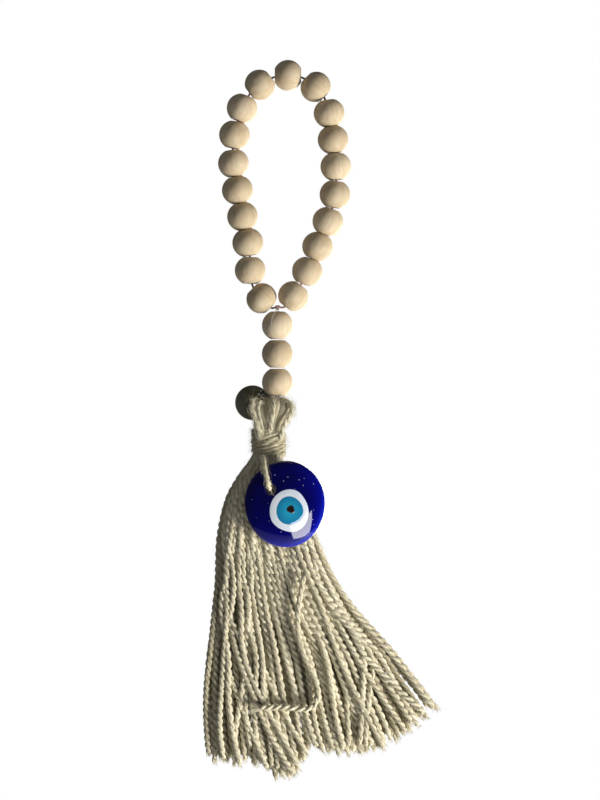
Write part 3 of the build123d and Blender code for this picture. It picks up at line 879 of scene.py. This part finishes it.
# Each plied yarn on the head: its size, then its places from the middle of the head's top, in millimetres.
PLIED_YARNS = (
    (
        3.3,
        (
            (-9.0, -3.0, -3.5),
            (-11.4, -5.5, 0.2),
            (-12.9, -8.0, -0.8),
            (-12.6, -9.2, -5.5),
            (-10.8, -9.2, -10.5),
            (-9.0, -8.6, -15.0),
            (-8.4, -6.4, -20.0),
        ),
    ),
    (
        1.8,
        (
            (-5.0, -4.0, -3.5),
            (-8.2, -7.2, -0.8),
            (-9.6, -8.9, -2.8),
            (-9.2, -9.6, -7.0),
            (-8.2, -9.2, -11.0),
            (-7.0, -8.3, -16.0),
            (-6.9, -6.4, -20.0),
        ),
    ),
    (
        2.6,
        (
            (2.0, -4.0, -1.5),
            (5.4, -6.4, -0.6),
            (7.6, -7.4, -4.0),
            (6.3, -8.1, -8.5),
            (3.4, -8.6, -12.5),
            (2.1, -7.4, -17.0),
            (2.0, -6.4, -20.0),
        ),
    ),
    (
        2.4,
        (
            (-2.0, -4.0, -1.2),
            (-2.4, -7.6, -1.6),
            (-1.6, -9.0, -5.0),
            (-2.6, -9.0, -10.0),
            (-3.6, -8.2, -15.0),
            (-3.4, -6.4, -20.0),
        ),
    ),
)


def head_line(angle, wide):
    """A line up the head at an angle round it: out of the wrap, over the shoulder and in to the string
    on top."""
    top, low = HEAD_TOP + 0.5 * MM, WRAP_HIGH[2]
    height = top - low
    neck, middle = WRAP_CENTRE[0] / MM, STEM_X / MM
    # Each rise is: share of the head's height, distance from the axis, and the axis' X at that height.
    rises = (
        (-0.32, 4.9, neck),
        (0.06, 5.5, neck + 0.4),
        (0.32, 6.6, middle - 3.0),
        (0.62, wide, middle - 2.0),
        (0.82, wide * 0.88, middle - 1.7),
        (0.93, wide * 0.55, middle - 1.2),
        (0.88, 2.6, middle - 0.4),
    )
    across, forward = math.cos(angle), math.sin(angle)
    return smooth_line(
        [
            (centre * MM + far * MM * across, far * MM * forward * HEAD_DEPTH, low + rise * height)
            for rise, far, centre in rises
        ]
    )


def make_head(material, random):
    """The head: soft bundles of fibre that swell over the shoulder, with plied yarns down its front."""
    mesh, kept = Mesh(), []
    for count in range(HEAD_BUNDLES):
        angle = 2 * math.pi * (count + random.uniform(-0.4, 0.4)) / HEAD_BUNDLES + 0.2
        wide = 7.0 + 1.1 * math.cos(angle + 0.3) + random.uniform(-0.9, 0.6)
        line = resample(head_line(angle, wide), 0.6 * MM)
        share = np.linspace(0, 1, len(line))
        sway = np.sin(share * random.uniform(5, 9) + random.uniform(0, 6)) * 0.6 * MM
        line = line + sway[:, None] * (-math.sin(angle), HEAD_DEPTH * math.cos(angle), 0.0)
        fat = random.uniform(1.6, 2.7) * MM * np.interp(share, *BUNDLE_SWELL)
        fat = fat * (1 + 0.07 * np.sin(share * 13 + count))
        tone = random.uniform(0.3, 0.9)
        add_tube(mesh, line, fat, 26, tone, offset=random.uniform(-40, 40, 3), across=5.0)
        kept.append(line)
    top = np.array([STEM_X, 0.0, HEAD_TOP])
    for size, places in PLIED_YARNS:
        line = smooth_line(top + np.array(places) * MM)
        tone = random.uniform(0.7, 1.0)
        kept.append(add_yarn(mesh, line, size * MM, random, 8.5 * MM, tone))
    add_core(mesh, HEAD_TOP, WRAP_HIGH[2])
    add_fuzz(mesh, kept, 4.9 * MM, 2600, random, length=SHORT_FUZZ, lift=0.5, thickness=0.06 * MM)
    piece = mesh.piece("tassel_head_yarns", material, "yarn")
    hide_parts("tassel_head")
    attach(piece, "tassel")


def add_core(mesh, top, low):
    """The felted bundle inside the head: rings whose radius swells over the shoulder, roughened by a
    sine round them times a cosine up them, and closed at both ends."""
    around, rows = 40, 16
    share = np.linspace(0, 1, rows)
    far = np.interp(share, [0, 0.3, 0.6, 0.85, 1.0], [5.6, 6.2, 7.4, 6.6, 3.0]) * MM
    centre = np.interp(share, [0, 0.5, 1.0], [WRAP_CENTRE[0], STEM_X - 2.4 * MM, STEM_X - 1.0 * MM])
    angle = np.linspace(0, 2 * math.pi, around, endpoint=False)
    rough = 1 + 0.05 * np.sin(angle * 7 + 1)[None] * np.cos(share * 17)[:, None]
    height = low - 2 * MM + share * (top - low - 0.3 * MM)
    ring_x = centre[:, None] + far[:, None] * rough * np.cos(angle)[None]
    ring_y = far[:, None] * rough * np.sin(angle)[None] * HEAD_DEPTH
    points = np.stack([ring_x, ring_y, np.repeat(height[:, None], around, axis=1)], axis=-1)
    points = closed_points(points)
    extras = {"tone": np.full(len(points), 0.55), "thread": points / MM * (THREAD_PITCH, 0.6, THREAD_PITCH)}
    mesh.add(points, grid_quads(rows, around), end_caps(rows, around), **extras)


def closed_points(rings):
    """The points of rings in order, then the middle of the first ring and of the last, which close the
    ends."""
    return np.concatenate([rings.reshape(-1, 3), rings[0].mean(axis=0)[None], rings[-1].mean(axis=0)[None]])


# ---- Eye ------------------------------------------------------------------------------------

GLASS_HALF = (GLASS_HIGH - GLASS_LOW) / 2
GLASS_DOME = 5.4 * MM
GLASS_BACK = 1.8 * MM
GLASS_BORE = 2.3 * MM
BORE_LIP = 0.7 * MM
GLASS_SEEDS = 26


def rim_share(x, z):
    """0 at the glass' centre and 1 at its rim, for places across it: an ellipse's share, made uneven by
    two cosines of the angle."""
    across = (x - GLASS_CENTRE[0]) / (GLASS_HALF[0] - 0.1 * MM)
    up = (z - GLASS_CENTRE[2]) / (GLASS_HALF[2] - 0.1 * MM)
    angle = np.arctan2(up, across)
    uneven = 1 - 0.006 * (1 + np.cos(3 * angle + 0.8)) - 0.004 * (1 + np.cos(5 * angle + 2.0))
    return np.sqrt(across**2 + up**2) / uneven


def glass_front(x, z):
    """Depth of the glass' domed front: it falls away by 1 less the root of 1 less share to the power
    2.7, and a little more by share squared."""
    share = np.clip(rim_share(x, z), 0, 1)
    return GLASS_LOW[1] + GLASS_DOME * (1 - np.sqrt(1 - share**2.7)) + 0.25 * MM * share**2


def glass_back(x, z):
    """Depth of the glass' nearly flat back: it comes in by 1 less the root of 1 less share to the power
    7."""
    share = np.clip(rim_share(x, z), 0, 1)
    return GLASS_HIGH[1] - GLASS_BACK * (1 - np.sqrt(1 - share**7))


def make_glass(material):
    """The blue glass, as rings round its bore: out over the front to the rim, in over the back, and
    through the bore. How far the rim is from the bore at each angle is found by halving."""
    around, out_rows = 128, 46
    angle = np.linspace(0, 2 * math.pi, around, endpoint=False)
    direction = np.stack([np.cos(angle), np.sin(angle)], axis=1)
    low, high = np.zeros(around), np.full(around, 60 * MM)
    for _ in range(40):
        middle = (low + high) / 2
        x = BORE_CENTRE[0] + direction[:, 0] * middle
        z = BORE_CENTRE[2] + direction[:, 1] * middle
        inside = rim_share(x, z) < 1
        low, high = np.where(inside, middle, low), np.where(inside, high, middle)
    share = np.sin(np.linspace(0, math.pi / 2, out_rows))
    far = GLASS_BORE + (low[None] - GLASS_BORE) * share[:, None]
    x = BORE_CENTRE[0] + far * direction[None, :, 0]
    z = BORE_CENTRE[2] + far * direction[None, :, 1]
    past_lip = 1 - np.clip((far - GLASS_BORE) / BORE_LIP, 0, 1)
    lip = BORE_LIP * (1 - np.sqrt(np.clip(1 - past_lip**2, 0, 1)))
    front = np.stack([x, glass_front(x, z) + lip, z], axis=-1)
    back = np.stack([x, glass_back(x, z) - lip, z], axis=-1)[::-1]
    depth = np.linspace(0, 1, 8)[1:-1, None]
    inner = back[-1][None] * (1 - depth[..., None]) + front[0][None] * depth[..., None]
    rings = np.concatenate([front, back, inner])
    places = rings.reshape(-1, 3)
    # Painted light: the edge mask grows towards the rim, most at the lower right, where the blue ramp paints
    # light shining through the glass.
    edge = np.clip(rim_share(places[:, 0], places[:, 2]), 0, 1)
    away = (places - GLASS_CENTRE) / GLASS_HALF
    edge = edge**6 * np.clip(0.45 + 0.4 * (away[:, 0] - away[:, 2]), 0.1, 1)
    mesh = Mesh()
    mesh.add(places, grid_quads(len(rings), around, wrap_rows=True), edge=edge)
    piece = mesh.piece("blue_glass", material, "blue_glass")
    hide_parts("eye_glass")
    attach(piece, "eye")


def make_drop(name, node, slot, material, centre, size, ground, proud, waves, depth):
    """A fused drop of glass that follows the dome, on ground that stands out by so much: its outline is
    an oval with a sum of cosines, and its face stands proud of the ground up to its edge, by 1 less
    share to the power 8."""
    around, rows = 96, 18
    angle = np.linspace(0, 2 * math.pi, around, endpoint=False)
    outline = 1 + sum(amount * np.cos(times * angle + phase) for times, amount, phase in waves)
    outline = outline / outline.max()
    share = np.sin(np.linspace(0.04, math.pi / 2, rows))
    x = GLASS_CENTRE[0] + centre[0] * MM + share[:, None] * (size[0] / 2 * MM * outline * np.cos(angle))[None]
    z = GLASS_CENTRE[2] + centre[1] * MM + share[:, None] * (size[1] / 2 * MM * outline * np.sin(angle))[None]
    face = glass_front(x, z) - ground - proud * (1 - share[:, None] ** 8) + 0.03 * MM * share[:, None] ** 8
    sunk = glass_front(x, z) + depth * (1 - share[:, None] ** 6) + 0.06 * MM
    rings = np.concatenate([np.stack([x, face, z], axis=-1), np.stack([x, sunk, z], axis=-1)[::-1]])
    edge = np.concatenate([np.repeat(np.concatenate([share, share[::-1]]), around), [0, 0]])
    mesh = Mesh()
    mesh.add(closed_points(rings), grid_quads(2 * rows, around), end_caps(2 * rows, around), edge=edge)
    piece = mesh.piece(name, material, slot)
    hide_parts(node)
    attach(piece, "eye")


def make_bubbles(material, random):
    """Small seeds at the glass' face, half sunk: balls, as rings whose radius and height are the sine
    and cosine of the slope."""
    mesh = Mesh()
    rows, around = 7, 10
    for _ in range(GLASS_SEEDS):
        angle, far = random.uniform(0, 2 * math.pi), random.uniform(0.35, 0.86)
        x = GLASS_CENTRE[0] + GLASS_HALF[0] * far * math.cos(angle)
        z = GLASS_CENTRE[2] + GLASS_HALF[2] * far * math.sin(angle)
        centre = np.array([x, float(glass_front(np.array(x), np.array(z))) + 0.02 * MM, z])
        radius = random.uniform(0.08, 0.24) * MM
        slope = np.linspace(0.15, math.pi - 0.15, rows)
        turn = np.linspace(0, 2 * math.pi, around, endpoint=False)
        rings = centre + radius * np.stack(
            [
                np.sin(slope)[:, None] * np.cos(turn)[None],
                np.sin(slope)[:, None] * np.sin(turn)[None],
                np.repeat(-np.cos(slope)[:, None], around, axis=1),
            ],
            axis=-1,
        )
        points = closed_points(rings)
        mesh.add(points, grid_quads(rows, around), end_caps(rows, around), edge=np.full(len(points), 0.5))
    piece = mesh.piece("glass_seeds", material, "white_glass")
    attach(piece, "eye")


# The tie's route, in millimetres: out of its knot, over the glass, through the bore and up behind the
# glass.
TIE_KNOT = np.array(JOINTS["eye_lift"]["pos_m"]) / MM
BORE_MM = BORE_CENTRE / MM
TIE_FRONT = GLASS_LOW[1] / MM - 2.4
TIE_BACK = GLASS_HIGH[1] / MM + 1.8
TIE_ROUTE = (
    (TIE_KNOT[0], TIE_KNOT[1] - 1.8, TIE_KNOT[2]),
    (TIE_KNOT[0] + 0.2, TIE_KNOT[1] - 7.5, TIE_KNOT[2] - 0.4),
    (TIE_KNOT[0] + 1.2, TIE_FRONT, TIE_KNOT[2] - 6.4),
    (BORE_MM[0], TIE_FRONT, BORE_MM[2]),
    (BORE_MM[0], TIE_BACK, BORE_MM[2]),
    (TIE_KNOT[0] + 1.4, TIE_BACK, TIE_KNOT[2] - 6.4),
    (TIE_KNOT[0] + 0.3, TIE_KNOT[1] - 0.4, TIE_KNOT[2] - 1.8),
)


def make_tie(material, random):
    """The eye's tie: a yarn loop through the bore, fuller where it lies over the glass."""
    swell = ([0, 0.12, 0.42, 0.52, 0.72, 1.0], [1.0, 1.12, 1.08, 0.9, 0.85, 0.85])
    tied = {"diameter": 2.4 * MM, "lay_length": 6.8 * MM, "far_end": "object", "lay": "taut"}
    make_cord("eye_tie_yarn", "eye_tie", route_line(TIE_ROUTE), swell, tied, material, random)


def make_knot(name, node, material, slot, size, random, yarn=1.9 * MM):
    """A small overhand knot: yarn along a trefoil, whose places across and up are sums of a sine or
    cosine of the turn and twice it, and whose depth is a sine of three times the turn."""
    low, high = corners(node)
    centre = (low + high) / 2
    turn = np.linspace(0, 2 * math.pi, 60)
    mesh = Mesh()
    far = size / 2 - yarn * 0.5
    knot = np.stack(
        [
            (np.sin(turn) + 2 * np.sin(2 * turn)) / 3,
            -np.sin(3 * turn) * 0.55,
            (np.cos(turn) - 2 * np.cos(2 * turn)) / 3,
        ],
        axis=1,
    )
    add_yarn(mesh, centre + knot * far, yarn, random, 5 * MM, 0.8, step=0.35 * MM)
    piece = mesh.piece(name, material, slot)
    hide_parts(node)
    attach(piece, BODY_OF[node])


# ---- Tag ------------------------------------------------------------------------------------


def make_tag(material):
    """The hang tag: a disc with a bare face, as rings round its eyelet whose places run from the hole
    to the rim by share, with softly rounded, rubbed edges. The rim's distance is where a line from the
    eyelet meets the disc."""
    low, high = corners("hang_tag")
    centre, half = (low + high) / 2, (high - low) / 2
    eyelet = np.array(JOINTS["tag_swing"]["pos_m"])
    around = 96
    angle = np.linspace(0, 2 * math.pi, around, endpoint=False)
    direction = np.stack([np.cos(angle), np.sin(angle)], axis=1)
    off = np.array([eyelet[0] - centre[0], eyelet[2] - centre[2]])
    along = direction @ off
    rim = -along + np.sqrt(along**2 + half[0] ** 2 - off @ off)
    hole = 1.1 * MM
    round_off = 0.22 * MM
    steps = ((0, 1), (round_off * 0.3, 0.3), (round_off, 0))
    rows = [(hole + out, half[1] - round_off * drop) for out, drop in steps]
    rings, edges = [], []
    for face in (-1, 1):
        face_rows = [(np.full(around, far), depth, 0.6) for far, depth in rows]
        for share in np.linspace(0.08, 0.92, 10):
            face_rows.append((hole + (rim - hole) * share, half[1], 0.0))
        for out, drop in reversed(steps):
            face_rows.append((rim - out, half[1] - round_off * drop, 0.75))
        if face == 1:
            face_rows = face_rows[::-1]
        for far, depth, rub in face_rows:
            ring = np.stack(
                [
                    eyelet[0] + far * direction[:, 0],
                    np.full(around, centre[1] + face * depth),
                    eyelet[2] + far * direction[:, 1],
                ],
                axis=1,
            )
            rings.append(ring)
            edges.append(np.full(around, rub))
    rings = np.stack(rings)
    mesh = Mesh()
    mesh.add(rings.reshape(-1, 3), grid_quads(len(rings), around, wrap_rows=True), edge=np.concatenate(edges))
    piece = mesh.piece("bare_hang_tag", material, "tag_card")
    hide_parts("hang_tag")
    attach(piece, "tag")


def make_tag_knot(material, random):
    """The dark thread's knot at the tag's eyelet, along the same kind of trefoil as the other knots."""
    mesh = Mesh()
    turn = np.linspace(0, 2 * math.pi, 50)
    across = np.sin(turn) + np.sin(2 * turn) * 0.5
    up = np.cos(turn) - np.cos(2 * turn) * 0.5
    knot = np.stack([across, -np.sin(3 * turn) * 0.35, up], axis=1)
    eyelet = np.array(JOINTS["tag_swing"]["pos_m"])
    add_yarn(mesh, eyelet + knot * 0.85 * MM, 1.1 * MM, random, 3 * MM, 0.4, step=0.25 * MM)
    piece = mesh.piece("tag_thread_knot", material, "tag_string")
    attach(piece, "tag_string")


def make_thread_end(material):
    """The clear thread's end, which curls out of the junction and down over the first stem bead."""
    top = np.array(JOINTS["stem_swing_side"]["pos_m"]) / MM
    points = [
        top + (0.4, -1.8, 0.6),
        top + (0.2, -5.0, 0.2),
        top + (-1.6, -7.6, -3.4),
        top + (-3.2, -8.6, -7.4),
        top + (-2.6, -8.9, -9.6),
    ]
    mesh = Mesh()
    line = resample(smooth_line(np.array(points) * MM), 0.4 * MM)
    add_tube(mesh, line, THREAD_RADIUS, 6, 1.0)
    piece = mesh.piece("thread_end", material, "string")
    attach(piece, "stem_stub")


def dress_strings(string, dark):
    """Gives the CAD strings and knots their thread finish."""
    stem = [f"stem_string_{part}" for part in ("stub", "upper", "middle", "lower")]
    for node in ["loop_string", *stem, "hanger_knot", "tag_string"]:
        item = frame["nodes"][node]
        item.data.materials.clear()
        item.data.materials.append(dark if node == "tag_string" else string)


def string_material(name, dark, light):
    """A thin laid string, from object coordinates: slanting plies and fine fibres."""
    material, nodes, links, shader = new_material(name)
    place = nodes.new("ShaderNodeTexCoord")
    wave = nodes.new("ShaderNodeTexWave")
    wave.bands_direction = "DIAGONAL"
    wave.inputs["Scale"].default_value = 420.0
    wave.inputs["Distortion"].default_value = 1.5
    links.new(place.outputs["Object"], wave.inputs["Vector"])
    colour = colour_ramp(nodes, links, wave.outputs["Fac"], [(0.2, dark), (0.8, light)])
    links.new(colour, shader.inputs["Base Color"])
    shader.inputs["Roughness"].default_value = 0.75
    shader.inputs["Sheen Weight"].default_value = 0.2
    bump(nodes, links, wave.outputs["Fac"], 0.6, 0.00015, shader.inputs["Normal"])
    return material


# ---- Scene ----------------------------------------------------------------------------------


def add_floor():
    """A pale round floor below the hanging ornament."""
    angle = np.linspace(0, 2 * math.pi, 64, endpoint=False)
    height = np.full(len(angle), FLOOR_HEIGHT)
    ring = np.stack([FLOOR_RADIUS * np.cos(angle), FLOOR_RADIUS * np.sin(angle), height], axis=1)
    mesh = bpy.data.meshes.new("floor")
    mesh.from_pydata(ring.tolist(), [], [tuple(range(len(ring)))])
    mesh.materials.append(floor_material())
    item = bpy.data.objects.new("floor", mesh)
    bpy.context.scene.collection.objects.link(item)


def set_world():
    """A soft pale surround: weak as light, weaker in reflections, and white where it is seen directly."""
    world = bpy.data.worlds.new("surround")
    world.use_nodes = True
    bpy.context.scene.world = world
    nodes, links = world.node_tree.nodes, world.node_tree.links
    nodes.clear()
    soft, white, dim = (nodes.new("ShaderNodeBackground") for _ in range(3))
    soft.inputs["Color"].default_value = (0.93, 0.96, 1.0, 1)
    soft.inputs["Strength"].default_value = 0.16
    white.inputs["Color"].default_value = (1, 1, 1, 1)
    white.inputs["Strength"].default_value = 1.0
    dim.inputs["Strength"].default_value = 0.06
    path, out = nodes.new("ShaderNodeLightPath"), nodes.new("ShaderNodeOutputWorld")
    mix, mirrored = nodes.new("ShaderNodeMixShader"), nodes.new("ShaderNodeMixShader")
    seen = nodes.new("ShaderNodeMath")
    seen.operation = "MAXIMUM"
    links.new(path.outputs["Is Camera Ray"], seen.inputs[0])
    links.new(path.outputs["Is Transmission Ray"], seen.inputs[1])
    links.new(seen.outputs["Value"], mix.inputs["Fac"])
    links.new(path.outputs["Is Glossy Ray"], mirrored.inputs["Fac"])
    links.new(soft.outputs["Background"], mirrored.inputs[1])
    links.new(dim.outputs["Background"], mirrored.inputs[2])
    links.new(mirrored.outputs["Shader"], mix.inputs[1])
    links.new(white.outputs["Background"], mix.inputs[2])
    links.new(mix.outputs["Shader"], out.inputs["Surface"])


bpy.context.scene.view_settings.view_transform = "Standard"
add_camera()
add_floor()
set_world()
key = add_lamp("key", (1.25, -0.72, -0.85), (0.5, 0.5), 37.0, (1.0, 0.975, 0.93))
key.visible_glossy = False
pane = (0.72, 0.95)
window = add_lamp("window", (0.52, -1.12, -0.92), pane, 24.0, (0.97, 0.96, 1.0), aim=(0.0, 0.0, -0.206))
window.rotation_euler.rotate_axis("Z", math.radians(28))
window.visible_diffuse = False
add_lamp("back", (0.5, 1.6, -0.4), (1.0, 1.0), 30.0, (0.97, 0.98, 1.0))

bead_wood = wood_material()
cream = yarn_material("cream_yarn", (0.41, 0.36, 0.23), (0.64, 0.59, 0.43), (0.90, 0.86, 0.71))
string_pink = string_material("pink_string", (0.22, 0.10, 0.08), (0.55, 0.33, 0.27))
string_dark = string_material("dark_thread", (0.012, 0.012, 0.010), (0.05, 0.05, 0.045))
clear_thread = yarn_material("clear_thread", (0.6, 0.55, 0.47), (0.72, 0.66, 0.58), (0.85, 0.8, 0.72))
# The blue glass' ramp from middle to edge: its brighter edge is painted light shining through the lower right
# rim.
COBALT = [
    (0.03, (0.0002, 0.0001, 0.030)),
    (0.10, (0.0003, 0.0002, 0.10)),
    (0.5, (0.001, 0.002, 0.20)),
    (1.0, (0.008, 0.02, 0.45)),
]
cobalt = glass_material("cobalt_glass", COBALT)
milk = glass_material("milk_glass", [(0.2, (0.78, 0.80, 0.84)), (1.0, (0.70, 0.76, 0.86))])
sky_glass = glass_material("sky_glass", [(0.2, (0.018, 0.33, 0.52)), (1.0, (0.010, 0.19, 0.38))])
jet = glass_material("jet_glass", [(0.2, (0.006, 0.005, 0.006)), (1.0, (0.03, 0.012, 0.010))])
card = card_material()

draw = np.random.default_rng(SEED)
for bead in [node for node in BODY_OF if "bead" in node]:
    make_bead(bead, bead_wood, draw)
make_stray(cream, draw)
make_tie(cream, draw)
make_skirt(cream, draw)
make_head(cream, draw)
make_wrap(cream, draw)
make_knot("eye_tie_knot_yarn", "eye_tie_knot", cream, "yarn", 3.6 * MM, draw)
make_knot("junction_knot_string", "junction_knot", string_pink, "string", 3.0 * MM, draw, yarn=1.1 * MM)
make_glass(cobalt)
# Each drop: its piece, node, slot and glass, its place and size in millimetres, how far the ground
# under it and its own face stand out, the cosines of its outline as (waves, amount, phase), and how
# deep it is set.
DROPS = (
    (
        ("white_drop", "eye_white", "white_glass", milk),
        ((2.1, -3.2), (20.0, 22.3), 0.0, 0.16 * MM),
        ((2, 0.02, 1.0), (3, 0.022, 2.2), (5, 0.008, 0.3)),
        0.9 * MM,
    ),
    (
        ("light_blue_drop", "eye_iris", "light_blue_glass", sky_glass),
        ((2.3, -3.1), (13.9, 15.2), 0.16 * MM, 0.08 * MM),
        ((2, 0.02, 0.4), (3, 0.02, 1.0)),
        0.9 * MM,
    ),
    (
        ("black_drop", "eye_pupil", "black_glass", jet),
        ((2.9, -2.4), (4.4, 4.8), 0.24 * MM, 0.10 * MM),
        ((2, 0.08, 0.8), (3, 0.10, 2.6)),
        0.5 * MM,
    ),
)
for names, place, waves, drop_depth in DROPS:
    make_drop(*names, *place, waves, drop_depth)
make_bubbles(milk, draw)
make_tag(card)
make_tag_knot(string_dark, draw)
make_thread_end(clear_thread)
dress_strings(string_pink, string_dark)
